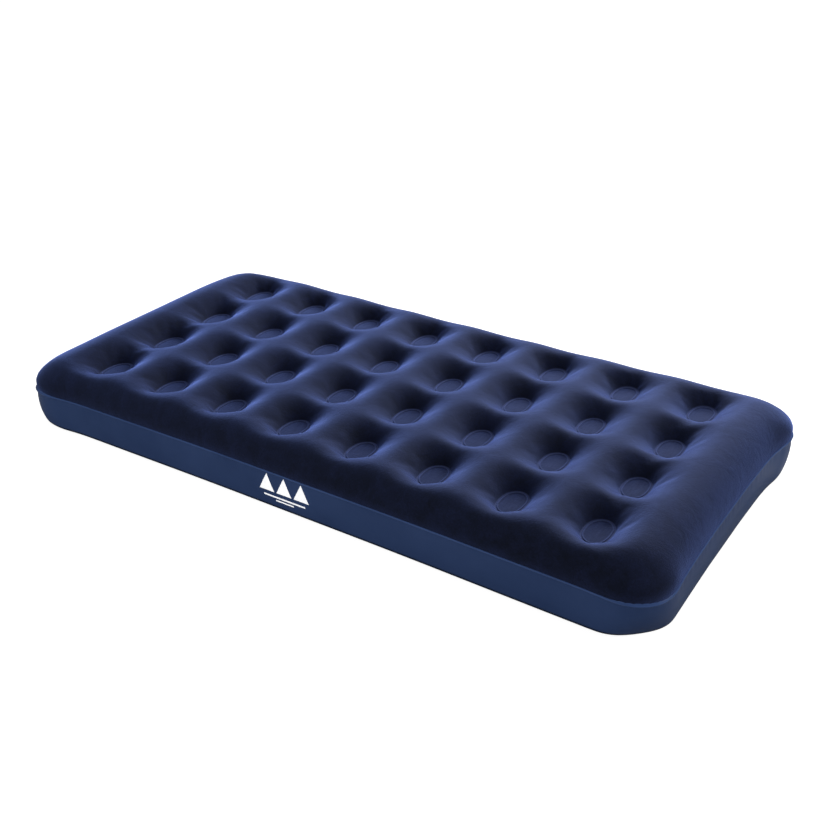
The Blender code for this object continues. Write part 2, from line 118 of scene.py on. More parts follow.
def hang_lamp(name, place, aim, wide, high, power):
    """A soft lamp of this size, turned to what it lights."""
    lamp = bpy.data.objects.new(name, bpy.data.lights.new(name, "AREA"))
    lamp.data.shape = "RECTANGLE"
    lamp.data.size = wide
    lamp.data.size_y = high
    lamp.data.energy = power
    away = Vector(place) - Vector(aim)
    lamp.matrix_world = Matrix.LocRotScale(Vector(place), away.to_track_quat("Z", "Y"), None)
    scene.collection.objects.link(lamp)


bed_middle = (0, 0, 0.1)
hang_lamp("back_lamp", (-0.1, 3.4, 1.75), bed_middle, 1.8, 1.2, 152)
hang_lamp("right_lamp", (3.6, 0.9, 1.3), (0.7, 0, 0.1), 1.2, 1.0, 40)
hang_lamp("front_lamp", (-0.4, -3.6, 0.4), bed_middle, 3.0, 0.5, 46)
hang_lamp("top_lamp", (0.6, 0.5, 3.2), bed_middle, 2.6, 1.6, 26)

# ---------------------------------------------------------------------------------------------
# Flocked top: one sheet of vinyl with a navy velvet flock, welded down on to the coil beams in
# 32 long round spots and along its edge to the side wall. The air swells it between the welds.
# ---------------------------------------------------------------------------------------------
length, width = 1.88, 0.90              # over the seam
corner = 0.11                           # the corners' radius in plan
seam_height = 0.109
crest_rise = 0.104                      # over the seam, as the welds' floors are
weld_rise = 0.0425
bowl_run, bowl_depth = 0.096, 0.0445    # from a weld's edge the skin climbs so far and so high
end_lift, side_lift = 0.018, 0.006      # and so much higher past the outermost welds
pitch_x, pitch_y = 1.486 / 7, 0.616 / 3
column_places = [(i - 3.5) * pitch_x for i in range(8)]
row_places = [(i - 1.5) * pitch_y for i in range(4)]
weld_radius = 0.034
weld_straight = 0.0175                  # half of the straight part, across the bed
weld_taper = 0.18                       # the spot is narrower by this share at its two ends


def past_outline(x, y):
    """Distance to the seam, less than nothing inside it."""
    over_x = np.abs(x) - (length / 2 - corner)
    over_y = np.abs(y) - (width / 2 - corner)
    outside = np.hypot(np.maximum(over_x, 0), np.maximum(over_y, 0))
    return outside + np.minimum(np.maximum(over_x, over_y), 0) - corner


def outward(x, y):
    """The way from the bed's middle part out to the seam at points of the plan, one long."""
    out_x = x - np.clip(x, corner - length / 2, length / 2 - corner)
    out_y = y - np.clip(y, corner - width / 2, width / 2 - corner)
    reach = np.maximum(np.hypot(out_x, out_y), 1e-9)
    return out_x / reach, out_y / reach


def from_weld(x, y):
    """Distance to the nearest weld's edge, and the point of its middle line that is nearest."""
    centre_x = (np.clip(np.round(x / pitch_x + 3.5), 0, 7) - 3.5) * pitch_x
    centre_y = (np.clip(np.round(y / pitch_y + 1.5), 0, 3) - 1.5) * pitch_y
    spine_y = centre_y + np.clip(y - centre_y, -weld_straight, weld_straight)
    return np.hypot(x - centre_x, y - spine_y) - weld_radius, centre_x, spine_y


def ease(share):
    """A share from 0 to 1 that starts and ends gently."""
    return share ** 2 * (3 - 2 * share)


# The skin's rise, squared so that it leaves the seam upright: a shoulder all round, a bowl at each
# weld, and the two eased into each other.
cell = 0.004
corner_droop, droop_x, droop_y, droop_size = 0.14, 0.90, 0.41, 0.13
end_start, end_run = 0.79, 0.09         # where the lift past the outermost welds sets in
side_start, side_run = 0.36, 0.04
grid_x = (np.arange(round(length / cell) + 3) - (round(length / cell) + 2) / 2) * cell
grid_y = (np.arange(round(width / cell) + 3) - (round(width / cell) + 2) / 2) * cell
plan_x, plan_y = np.meshgrid(grid_x, grid_y, indexing="ij")
inward = -past_outline(plan_x, plan_y)
gap = from_weld(plan_x, plan_y)[0]
at_corner = np.exp(-((np.abs(plan_x) - droop_x) ** 2 + (np.abs(plan_y) - droop_y) ** 2)
                   / droop_size ** 2)
shoulder = np.sqrt(1 - (1 - np.clip(inward / corner, 0, 1)) ** 2)
shoulder_rise = crest_rise * (1 - corner_droop * at_corner) * shoulder
to_end = np.clip((np.abs(plan_x) - end_start) / end_run, 0, 1)
to_side = np.clip((np.abs(plan_y) - side_start) / side_run, 0, 1)
bowl_rise = weld_rise + bowl_depth * (1 - (1 - np.clip(gap / bowl_run, 0, 1)) ** 2)
bowl_rise += end_lift * ease(to_end) + side_lift * ease(to_side)
swell = np.minimum(shoulder_rise, bowl_rise) ** 2
free = (inward > 0) & (gap > 0)
for sweep in range(14):
    eased = swell.copy()
    eased[1:-1, 1:-1] = (swell[2:, 1:-1] + swell[:-2, 1:-1]
                         + swell[1:-1, 2:] + swell[1:-1, :-2]) / 4
    swell = np.where(free, eased, swell)


def swell_at(x, y):
    """The skin's rise squared at points, between the grid's."""
    across = np.clip((x - grid_x[0]) / cell, 0, len(grid_x) - 1.001)
    along = np.clip((y - grid_y[0]) / cell, 0, len(grid_y) - 1.001)
    i, j = across.astype(int), along.astype(int)
    u, v = across - i, along - j
    return ((1 - u) * (1 - v) * swell[i, j] + u * (1 - v) * swell[i + 1, j]
            + (1 - u) * v * swell[i, j + 1] + u * v * swell[i + 1, j + 1])


def skin_rise(x, y):
    """Rise over the seam. By a weld or the seam it is drawn from the swell a little way off."""
    margin = 0.008
    inward = -past_outline(x, y)
    out_x, out_y = outward(x, y)
    step_in = np.maximum(margin - inward, 0)
    near_seam = swell_at(x - out_x * step_in, y - out_y * step_in)
    near_seam = near_seam * np.clip(inward / margin, 0, 1)
    gap, spine_x, spine_y = from_weld(x, y)
    from_spine = np.maximum(np.hypot(x - spine_x, y - spine_y), 1e-9)
    scale = (weld_radius + margin) / from_spine
    near_weld = swell_at(spine_x + (x - spine_x) * scale, spine_y + (y - spine_y) * scale)
    near_weld = weld_rise ** 2 + (near_weld - weld_rise ** 2) * np.clip(gap / margin, 0, 1)
    squared = np.where(inward < margin, near_seam, swell_at(x, y))
    squared = np.where(gap < margin, near_weld, squared)
    return np.sqrt(np.maximum(squared, 0))


corner_pushes = [                       # a corner's side in x and y, and how far it is pushed out
    (-1, -1, 0.025, 0.021), (1, 1, 0.028, 0.018), (1, -1, 0.010, 0.010),
]
bulge_x, bulge_y, bulge_size = 0.908, 0.418, 0.09
end_bow, side_bow, side_tuck = 0.006, 0.008, 0.001
belly_size, belly_height = 0.005, 0.06


def by_corner(x, y, way_x, way_y):
    """How near points are to one corner of the plan, from 0 to 1."""
    return np.exp(-((x - way_x * bulge_x) ** 2 + (y - way_y * bulge_y) ** 2) / bulge_size ** 2)


def let_out(x, y, rise=0.0):
    """Where points of the plan lie once air has pushed the corners out and drawn the sides in."""
    ease_x = np.clip((np.abs(x) - 0.2) / 0.65, 0, 1)
    ease_y = np.clip((np.abs(y) - 0.1) / 0.3, 0, 1)
    move_x = np.sign(x) * (x / (length / 2)) ** 4 * end_bow * ease_y
    move_y = np.sign(y) * (y / (width / 2)) ** 2 * (side_bow * ease(ease_x) - side_tuck)
    for way_x, way_y, push_x, push_y in corner_pushes:
        near = by_corner(x, y, way_x, way_y)
        move_x = move_x + way_x * push_x * near
        move_y = move_y + way_y * push_y * near
    belly = belly_size * np.sin(math.pi * np.clip(rise / belly_height, 0, 1))
    out_x, out_y = outward(x, y)
    return x + move_x + out_x * belly, y + move_y + out_y * belly


# The sheet's plan. Each weld has rings of points round it that widen into its share of the bed.
side_points = 9
ring_points = 4 * side_points
quarter = weld_straight + weld_radius * math.pi / 2


def weld_ring(radius):
    """Evenly spaced points round a long round spot, starting at its lower left."""
    ring = []
    for number in range(ring_points):
        place = (number / ring_points * (4 * quarter) + quarter * 2.5) % (4 * quarter)
        part, rest = divmod(place, quarter)
        part = int(part) % 4
        run = rest if part in (0, 2) else quarter - rest
        angle = max(run - weld_straight, 0) / weld_radius
        x = radius * math.cos(angle)
        y = min(run, weld_straight) + radius * math.sin(angle)
        x *= 1 - weld_taper * (y / (radius + weld_straight)) ** 1.3
        ring.append((x if part in (0, 3) else -x, y if part in (0, 1) else -y))
    return np.array(ring)


def ring_faces(first, count, steps):
    """Faces between rings of count points each, one ring after another from the point first."""
    between = []
    for base in range(first, first + steps * count, count):
        for k in range(count):
            after = (k + 1) % count
            between.append((base + k, base + count + k, base + count + after, base + after))
    return between


field_x, field_y = 4 * pitch_x, 0.390   # half of the field that the welds share out
inner_radii = [0.0, 0.011, 0.021, 0.0262, 0.0276, 0.0288, 0.0300, 0.0316]
inner_lifts = [0.0, 0.0, 0.0, -0.0004, 0.0012, 0.0014, -0.0006, 0.0]       # the weld's own bead
rubbed_rings = (4, 5, 7, 8)
outer_steps = [0.0, 0.02, 0.055, 0.11, 0.19, 0.28, 0.38, 0.49, 0.61, 0.74, 0.87, 1.0]
share = np.arange(side_points) / side_points
points, faces, on_weld, on_rim, lifts = [], [], [], [], []
for spot_x in column_places:
    for spot_y in row_places:
        low_x, high_x = spot_x - pitch_x / 2, spot_x + pitch_x / 2
        low_y = -field_y if spot_y == row_places[0] else spot_y - pitch_y / 2
        high_y = field_y if spot_y == row_places[-1] else spot_y + pitch_y / 2
        rim = np.concatenate([
            np.column_stack([low_x + (high_x - low_x) * share, np.full(side_points, low_y)]),
            np.column_stack([np.full(side_points, high_x), low_y + (high_y - low_y) * share]),
            np.column_stack([high_x - (high_x - low_x) * share, np.full(side_points, high_y)]),
            np.column_stack([np.full(side_points, low_x), high_y - (high_y - low_y) * share]),
        ])
        edge = weld_ring(weld_radius) + (spot_x, spot_y)
        rings = [weld_ring(radius) + (spot_x, spot_y) for radius in inner_radii]
        rings += [edge + (rim - edge) * step for step in outer_steps]
        faces += ring_faces(len(points), ring_points, len(rings) - 1)
        for number, ring in enumerate(rings):
            lift = inner_lifts[number] if number < len(inner_radii) else 0.0
            points += [tuple(p) for p in ring]
            on_weld += [number <= len(inner_radii)] * ring_points
            on_rim += [number in rubbed_rings] * ring_points
            lifts += [lift] * ring_points

# Round the welds' field the sheet runs on to the seam, in rings that crowd towards it.
seam_steps = 1 - (1 - np.arange(1, 10) / 9.0) ** 2
rim_x = np.concatenate([spot + (share - 0.5) * pitch_x for spot in column_places])
rim_y = np.concatenate([
    np.linspace(-field_y, row_places[0] + pitch_y / 2, side_points + 1)[:-1],
    row_places[1] + (share - 0.5) * pitch_y,
    row_places[2] + (share - 0.5) * pitch_y,
    np.linspace(row_places[3] - pitch_y / 2, field_y, side_points + 1)[:-1],
])
rim = np.concatenate([
    np.column_stack([rim_x, np.full(len(rim_x), -field_y)]),
    np.column_stack([np.full(len(rim_y), field_x), rim_y]),
    np.column_stack([-rim_x, np.full(len(rim_x), field_y)]),
    np.column_stack([np.full(len(rim_y), -field_x), -rim_y]),
])


def seam_point(x, y):
    """The seam's point that a point of the field's rim runs out to."""
    on_long_side = abs(abs(y) - field_y) < 1e-9
    if on_long_side:
        half, straight, place = field_x, length / 2 - corner, x
    else:
        half, straight, place = field_y, width / 2 - corner, y
    part = abs(place) / half
    run = half * part + (straight + corner * math.pi / 4 - half) * part ** 6
    angle = max(run - straight, 0) / corner
    far = min(run, straight) + corner * math.sin(angle)
    out = corner * math.cos(angle)
    if on_long_side:
        return math.copysign(far, x), math.copysign(width / 2 - corner + out, y)
    return math.copysign(length / 2 - corner + out, x), math.copysign(far, y)


seam = np.array([seam_point(x, y) for x, y in rim])
faces += ring_faces(len(points), len(rim), len(seam_steps))
for step in [0.0, *seam_steps]:
    points += [tuple(p) for p in rim + (seam - rim) * step]
    on_weld += [False] * len(rim)
    on_rim += [False] * len(rim)
    lifts += [0.0] * len(rim)

plan = np.array(points)
heights = np.where(on_weld, weld_rise, skin_rise(plan[:, 0], plan[:, 1])) + np.array(lifts)
heights[-len(rim):] = 0
laid_x, laid_y = let_out(plan[:, 0], plan[:, 1], np.where(on_weld, 1.0, heights))
skin = bpy.data.meshes.new("flocked_top")
skin.from_pydata(np.column_stack([laid_x, laid_y, heights + seam_height]).tolist(), [], faces)
for name, values in (("weld_floor", on_weld), ("weld_rim", on_rim)):
    marks = skin.attributes.new(name, "FLOAT", "POINT")
    marks.data.foreach_set("value", np.array(values, np.float32))
top = bpy.data.objects.new("flocked_top", skin)
scene.collection.objects.link(top)
sewing = bmesh.new()
sewing.from_mesh(skin)
bmesh.ops.remove_doubles(sewing, verts=sewing.verts, dist=0.0002)
bmesh.ops.recalc_face_normals(sewing, faces=sewing.faces)
sewing.normal_update()
if sum(face.normal.z for face in sewing.faces) < 0:
    bmesh.ops.reverse_faces(sewing, faces=sewing.faces)
sewing.to_mesh(skin)
sewing.free()

# The air is let in: the sheet is held at its welds and along the seam, and pressed from below.
swell_cap = 0.010                       # how far the air may move a point
held = top.vertex_groups.new(name="held")
shape = np.zeros(len(skin.vertices) * 3)
skin.vertices.foreach_get("co", shape)
shape = shape.reshape(-1, 3)
weld_mark = np.zeros(len(skin.vertices), np.float32)
skin.attributes["weld_floor"].data.foreach_get("value", weld_mark)
fixed = (weld_mark > 0.5) | (shape[:, 2] < seam_height + 1e-6)
held.add([int(i) for i in np.nonzero(fixed)[0]], 1.0, "REPLACE")
cloth = top.modifiers.new("air", "CLOTH")
cloth.settings.quality = 5
cloth.settings.mass = 0.3
cloth.settings.tension_stiffness = 15
cloth.settings.compression_stiffness = 15
cloth.settings.shear_stiffness = 5
cloth.settings.bending_stiffness = 0.5
cloth.settings.use_pressure = True
cloth.settings.uniform_pressure_force = 40
cloth.settings.vertex_group_mass = "held"
cloth.settings.effector_weights.gravity = 0
cloth.collision_settings.use_collision = False
for moment in range(1, 21):
    scene.frame_set(moment)
result = top.evaluated_get(bpy.context.evaluated_depsgraph_get())
settled = np.zeros(len(shape) * 3)
result.data.vertices.foreach_get("co", settled)
moved = settled.reshape(-1, 3) - shape
top.modifiers.remove(cloth)
far = np.linalg.norm(moved, axis=1, keepdims=True)
settled = shape + moved * np.minimum(1, swell_cap / np.maximum(far, 1e-9))
skin.vertices.foreach_set("co", settled.ravel())
skin.update()


def pick(piece):
    """Takes one piece alone in hand."""
    bpy.ops.object.select_all(action="DESELECT")
    bpy.context.view_layer.objects.active = piece
    piece.select_set(True)


pick(top)
rounding = top.modifiers.new("rounding", "SUBSURF")
rounding.levels = rounding.render_levels = 1
bpy.ops.object.modifier_apply(modifier="rounding")
bpy.ops.object.shade_smooth()


def new_effect(name, takes, gives):
    """Starts a node group of numbers: what it takes, with first values, and what it gives."""
    effect = bpy.data.node_groups.new(name, "ShaderNodeTree")
    kind = "NodeSocketFloat"
    for socket, value in takes.items():
        taken = effect.interface.new_socket(socket, in_out="INPUT", socket_type=kind)
        taken.default_value = value
    for socket in gives:
        effect.interface.new_socket(socket, in_out="OUTPUT", socket_type=kind)
    return effect, effect.nodes.new("NodeGroupInput"), effect.nodes.new("NodeGroupOutput")


def two_tones(tree, low, deep, high, pale):
    """A ramp from a deep tone, up to low, to a pale one, from high."""
    tones = tree.nodes.new("ShaderNodeValToRGB")
    for number, (place, tone) in enumerate(((low, deep), (high, pale))):
        tones.color_ramp.elements[number].position = place
        tones.color_ramp.elements[number].color = (*tone, 1)
    return tones


# Mottling, as a hand leaves on short pile: paler and darker patches, and a fine grain.
pile, pile_in, pile_out = new_effect(
    "brushed_pile", {"Patch Size": 9.0, "Grain Size": 260.0}, ("Patches", "Grain"))
pile_place = add_step(pile, "ShaderNodeTexCoord")
patch_noise = add_step(pile, "ShaderNodeTexNoise", {
    "Detail": 5, "Roughness": 0.62, "Distortion": 0.6})
grain_noise = add_step(pile, "ShaderNodeTexNoise", {"Detail": 3, "Roughness": 0.7})
wire(pile,
     (pile_place, "Object", patch_noise, "Vector"),
     (pile_place, "Object", grain_noise, "Vector"),
     (pile_in, "Patch Size", patch_noise, "Scale"),
     (pile_in, "Grain Size", grain_noise, "Scale"),
     (patch_noise, "Fac", pile_out, "Patches"),
     (grain_noise, "Fac", pile_out, "Grain"))

# The flock is nearly black from above and glows blue at a slant. The welds' floors are streaked
# where the pile is pressed flat, and their rims are rubbed pale.
flock, flock_tree, flock_shader = new_finish("navy_flock", {
    "Roughness": 0.9, "Specular IOR Level": 0.15, "Sheen Weight": 1.0,
    "Sheen Roughness": 0.42, "Sheen Tint": (0.20, 0.31, 0.86, 1)})
flock_pile = add_step(flock_tree, "ShaderNodeGroup", {
    "Patch Size": 20.0, "Grain Size": 260.0}, node_tree=pile)
patch_tone = two_tones(
    flock_tree, 0.32, (0.0008, 0.0017, 0.0062), 0.70, (0.0040, 0.0066, 0.0240))
grain_tone = two_tones(flock_tree, 0.30, (0.55, 0.55, 0.55), 0.72, (1.45, 1.45, 1.45))
flock_colour = add_step(flock_tree, "ShaderNodeMix", {"Factor": 1.0},
                        data_type="RGBA", blend_type="MULTIPLY")
streak_place = add_step(flock_tree, "ShaderNodeTexCoord")
streak_stretch = add_step(flock_tree, "ShaderNodeMapping", {"Scale": (6.0, 0.5, 1.0)})
weld_streaks = add_step(flock_tree, "ShaderNodeTexNoise", {"Scale": 60, "Detail": 3})
streak_tone = two_tones(
    flock_tree, 0.35, (0.0040, 0.0072, 0.0260), 0.68, (0.0110, 0.0175, 0.0540))
weld_at = add_step(flock_tree, "ShaderNodeAttribute", attribute_name="weld_floor")
weld_colour = add_step(flock_tree, "ShaderNodeMix", data_type="RGBA")
rim_at = add_step(flock_tree, "ShaderNodeAttribute", attribute_name="weld_rim")
rim_share = add_step(flock_tree, "ShaderNodeMath", {1: 0.7}, operation="MULTIPLY")
rim_colour = add_step(flock_tree, "ShaderNodeMix", {"B": (0.034, 0.045, 0.105, 1)},
                      data_type="RGBA")
flock_bump = add_step(flock_tree, "ShaderNodeBump", {"Strength": 0.5, "Distance": 0.0012})
flock_waves = add_step(flock_tree, "ShaderNodeBump", {"Strength": 0.22, "Distance": 0.006})
wire(flock_tree,
     (flock_pile, "Patches", patch_tone, "Fac"),
     (flock_pile, "Grain", grain_tone, "Fac"),
     (patch_tone, "Color", flock_colour, "A"),
     (grain_tone, "Color", flock_colour, "B"),
     (streak_place, "Object", streak_stretch, "Vector"),
     (streak_stretch, "Vector", weld_streaks, "Vector"),
     (weld_streaks, "Fac", streak_tone, "Fac"),
     (weld_at, "Fac", weld_colour, "Factor"),
     (flock_colour, "Result", weld_colour, "A"),
     (streak_tone, "Color", weld_colour, "B"),
     (rim_at, "Fac", rim_share, 0),
     (rim_share, "Value", rim_colour, "Factor"),
     (weld_colour, "Result", rim_colour, "A"),
     (rim_colour, "Result", flock_shader, "Base Color"),
     (flock_pile, "Grain", flock_bump, "Height"),
     (flock_pile, "Patches", flock_waves, "Height"),
     (flock_bump, "Normal", flock_waves, "Normal"),
     (flock_waves, "Normal", flock_shader, "Normal"))
skin.materials.append(flock)
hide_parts("top_sheet")
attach(top, "mattress")

# ---------------------------------------------------------------------------------------------
# Side wall: a band of smooth vinyl, welded inside the flocked sheet's edge above and on to the
# bottom sheet below. The air bellies it out a little and it rolls under at the floor.
# ---------------------------------------------------------------------------------------------
band_levels = [                         # height, and how far inside the seam
    (0.1125, 0.0014), (0.1088, 0.0010), (0.1080, -0.0010), (0.1068, -0.0020), (0.1052, -0.0016),
    (0.1038, 0.0004), (0.1010, 0.0006), (0.0940, 0.0000), (0.0820, -0.0010), (0.0680, -0.0016),
    (0.0540, -0.0016), (0.0400, -0.0010), (0.0280, 0.0002), (0.0180, 0.0014), (0.0110, 0.0026),
    (0.0060, 0.0040), (0.0030, 0.0058), (0.0012, 0.0086), (0.0006, 0.0120), (0.0004, 0.0180),
]
foot_corner = 0.128
long_count, short_count, corner_count = 230, 96, 26


def drawn_foot(ring, low):
    """The wall's plan: let out in full at the seam (low 0), drawn in under the bed (low 1)."""
    ring_x, ring_y = ring[:, 0], ring[:, 1]
    let_x, let_y = let_out(ring_x, ring_y)
    front_right = by_corner(ring_x, ring_y, 1, -1)
    others = by_corner(np.abs(ring_x), np.abs(ring_y), 1, 1) - front_right
    keep = 1 - (0.25 * (1 - np.clip(others, 0, 1)) + 0.9 * front_right) * low ** 1.5
    return ring_x + (let_x - ring_x) * keep, ring_y + (let_y - ring_y) * keep


def outline(inset, radius):
    """Points round the bed in plan, anticlockwise from the head end's front corner."""
    half_x, half_y = length / 2 - inset, width / 2 - inset
    straight_x, straight_y = half_x - radius, half_y - radius
    sides = ((short_count, 1, 1), (long_count, -1, 1), (short_count, -1, -1), (long_count, 1, -1))
    plan = []
    for turn, (count, way_x, way_y) in enumerate(sides):
        steps = np.arange(count) / count * 2 - 1
        if turn % 2 == 0:
            plan += [(way_x * half_x, way_y * straight_y * step) for step in steps]
        else:
            plan += [(way_x * straight_x * step, way_y * half_y) for step in steps]
        for part in range(corner_count):
            angle = math.pi / 2 * (turn + part / corner_count)
            plan.append((way_x * straight_x + radius * math.cos(angle),
                         way_y * straight_y + radius * math.sin(angle)))
    return np.array(plan)


# The valve's axis meets the foot end here, and the wall is flat and open under its flange.
base_low, base_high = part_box("valve_base")
mouth = Vector((base_low[0] + 0.0018, (base_low[1] + base_high[1]) / 2,
                (base_low[2] + base_high[2]) / 2))
hole_radius = 0.0272
flat_radius, flat_fade = 0.058, 0.022

rows = []
for level, inset in band_levels:
    height_share = min(level / seam_height, 1)
    low = 1 - height_share
    ring = outline(inset, corner + (foot_corner - corner) * low ** 1.3)
    ring_x, ring_y = drawn_foot(ring, low)
    run = np.arange(len(ring)) * 0.0082
    pucker = math.exp(-((level - 0.099) / 0.010) ** 2) * 0.0004      # by the weld with the top
    ripple = math.sin(math.pi * height_share)
    wave = (np.sin(run * 210 + 2.0 * np.sin(run * 37)) * pucker
            + np.sin(run * 19 + level * 30) * 0.0004 * ripple)
    out_x, out_y = outward(ring[:, 0], ring[:, 1])
    wall_x, wall_y = ring_x + out_x * wave, ring_y + out_y * wave
    from_mouth = np.hypot(ring_y - mouth.y, level - mouth.z)
    by_valve = ease(np.clip((flat_radius - from_mouth) / flat_fade, 0, 1))
    wall_x = wall_x + (mouth.x - wall_x) * np.where(ring[:, 0] < 0, by_valve, 0)
    rows.append(np.column_stack([wall_x, wall_y, np.full(len(ring), level)]))
band_mesh = bpy.data.meshes.new("side_band")
band_mesh.from_pydata(
    np.concatenate(rows).tolist(), [], ring_faces(0, len(rows[0]), len(rows) - 1))
punch = bmesh.new()
punch.from_mesh(band_mesh)
cut_out = []
for face in punch.faces:
    middle = face.calc_center_median()
    if middle.x < 0 and math.hypot(middle.y - mouth.y, middle.z - mouth.z) < hole_radius:
        cut_out.append(face)
bmesh.ops.delete(punch, geom=cut_out, context="FACES")
for vert in punch.verts:
    from_mouth = math.hypot(vert.co.y - mouth.y, vert.co.z - mouth.z)
    if vert.co.x < 0 and from_mouth < 2 * hole_radius and vert.is_boundary:
        vert.co.y = mouth.y + (vert.co.y - mouth.y) * hole_radius / from_mouth
        vert.co.z = mouth.z + (vert.co.z - mouth.z) * hole_radius / from_mouth
punch.to_mesh(band_mesh)
punch.free()
band = bpy.data.objects.new("side_band", band_mesh)
scene.collection.objects.link(band)
pick(band)
bpy.ops.object.shade_smooth()


def cloud_over(tree, shader, scale, detail, tones, smooth, dull):
    """Two close tones and a gloss that drift over rolled vinyl. Gives the place and the tones."""
    place = add_step(tree, "ShaderNodeTexCoord")
    clouds = add_step(tree, "ShaderNodeTexNoise", {"Scale": scale, "Detail": detail})
    tone = two_tones(tree, *tones)
    rough = add_step(tree, "ShaderNodeMapRange", {"To Min": smooth, "To Max": dull})
    wire(tree,
         (place, "Object", clouds, "Vector"),
         (clouds, "Fac", tone, "Fac"),
         (clouds, "Fac", rough, "Value"),
         (rough, "Result", shader, "Roughness"))
    return place, tone


vinyl, vinyl_tree, vinyl_shader = new_finish("navy_vinyl", {"Specular IOR Level": 0.10})
vinyl_place, vinyl_tone = cloud_over(
    vinyl_tree, vinyl_shader, 7, 4,
    (0.3, (0.0240, 0.0470, 0.1260), 0.7, (0.0310, 0.0580, 0.1500)), 0.30, 0.44)
vinyl_skin = add_step(vinyl_tree, "ShaderNodeTexNoise", {"Scale": 420, "Detail": 2})
vinyl_bump = add_step(vinyl_tree, "ShaderNodeBump", {"Strength": 0.12, "Distance": 0.0004})
vinyl_parts = add_step(vinyl_tree, "ShaderNodeSeparateXYZ")
vinyl_level = add_step(vinyl_tree, "ShaderNodeMapRange", {"From Max": 0.110})
# Painted shade at the ground, darker towards the floor, and a painted highlight along the weld on
# top.
foot_shade_and_seam_highlight = two_tones(vinyl_tree, 0.025, (0.10, 0.10, 0.10), 0.975, (1.7, 1.7, 1.7))
for place, tone in ((0.070, 0.25), (0.125, 1.0), (0.955, 1.0)):
    foot_shade_and_seam_highlight.color_ramp.elements.new(place).color = (tone, tone, tone, 1)
vinyl_with_painted_light = add_step(vinyl_tree, "ShaderNodeMix", {"Factor": 1.0},
                      data_type="RGBA", blend_type="MULTIPLY")
wire(vinyl_tree,
     (vinyl_place, "Object", vinyl_skin, "Vector"),
     (vinyl_place, "Object", vinyl_parts, "Vector"),
     (vinyl_parts, "Z", vinyl_level, "Value"),
     (vinyl_level, "Result", foot_shade_and_seam_highlight, "Fac"),
     (vinyl_tone, "Color", vinyl_with_painted_light, "A"),
     (foot_shade_and_seam_highlight, "Color", vinyl_with_painted_light, "B"),
     (vinyl_with_painted_light, "Result", vinyl_shader, "Base Color"),
     (vinyl_skin, "Fac", vinyl_bump, "Height"),
     (vinyl_bump, "Normal", vinyl_shader, "Normal"))
band_mesh.materials.append(vinyl)
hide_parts("side_wall")
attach(band, "mattress")

# ---------------------------------------------------------------------------------------------
# Print on the front long side: a generic camping pictogram of three tents over two bars, screened
# in white ink on the vinyl. It follows the wall's skin a hair in front of it.
# ---------------------------------------------------------------------------------------------
def ink_shape(sides, place, wide, high):
    """A flat shape facing the front, on the long side at x and z."""
    bpy.ops.object.select_all(action="DESELECT")
    bpy.ops.mesh.primitive_circle_add(
        vertices=sides, radius=1, fill_type="NGON", location=(0, 0, 0))
    shape = bpy.context.object
    bpy.ops.object.mode_set(mode="EDIT")
    bpy.ops.mesh.select_all(action="SELECT")
    if sides == 4:
        bpy.ops.transform.rotate(value=math.pi / 4, orient_axis="Z", center_override=(0, 0, 0))
    bpy.ops.mesh.subdivide(number_cuts=6)
    bpy.ops.object.mode_set(mode="OBJECT")
    shape.scale = (wide / shape.dimensions.x, high / shape.dimensions.y, 1)
    shape.rotation_euler = (math.pi / 2, 0, 0)
    shape.location = (place[0], -0.462, place[1])
    bpy.ops.object.transform_apply(location=True, rotation=True, scale=True)
    return shape


def face_out(piece, axis, way):
    """Turns a flat piece's faces to one side: way is 1 or -1 along x, y or z (0, 1 or 2)."""
    bpy.ops.object.mode_set(mode="EDIT")
    bpy.ops.mesh.select_all(action="SELECT")
    bpy.ops.mesh.normals_make_consistent(inside=False)
    bpy.ops.object.mode_set(mode="OBJECT")
    if sum(face.normal[axis] for face in piece.data.polygons) * way < 0:
        piece.data.flip_normals()


print_middle = -0.030
ink_shapes = [ink_shape(3, (print_middle + shift, 0.0695), 0.047, 0.047)
              for shift in (-0.054, 0.0, 0.054)]
ink_shapes.append(ink_shape(4, (print_middle, 0.0400), 0.130, 0.0048))
ink_shapes.append(ink_shape(4, (print_middle, 0.0300), 0.056, 0.0040))
side_print = ink_shapes[0]
pick(side_print)
for shape in ink_shapes:
    shape.select_set(True)
bpy.ops.object.join()
side_print.name = "side_print"
laid_on = side_print.modifiers.new("laid_on", "SHRINKWRAP")
laid_on.target = band
laid_on.wrap_method = "PROJECT"
laid_on.use_project_x = laid_on.use_project_z = False
laid_on.use_project_y = True
laid_on.use_negative_direction = laid_on.use_positive_direction = True
laid_on.offset = 0.0003
bpy.ops.object.modifier_apply(modifier="laid_on")
face_out(side_print, 1, -1)
# The ink also glows a little: painted light that keeps the print bright white on the shaded wall.
ink, ink_tree, ink_shader = new_finish("white_ink_with_glow", {
    "Roughness": 0.45, "Emission Color": (1, 1, 1, 1), "Emission Strength": 0.42})
ink_place = add_step(ink_tree, "ShaderNodeTexCoord")
ink_spread = add_step(ink_tree, "ShaderNodeTexNoise", {"Scale": 160, "Detail": 4})
ink_tone = two_tones(ink_tree, 0.25, (0.72, 0.75, 0.80), 0.5, (0.95, 0.96, 0.98))
wire(ink_tree,
     (ink_place, "Object", ink_spread, "Vector"),
     (ink_spread, "Fac", ink_tone, "Fac"),
     (ink_tone, "Color", ink_shader, "Base Color"))
side_print.data.materials.clear()
side_print.data.materials.append(ink)
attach(side_print, "mattress")

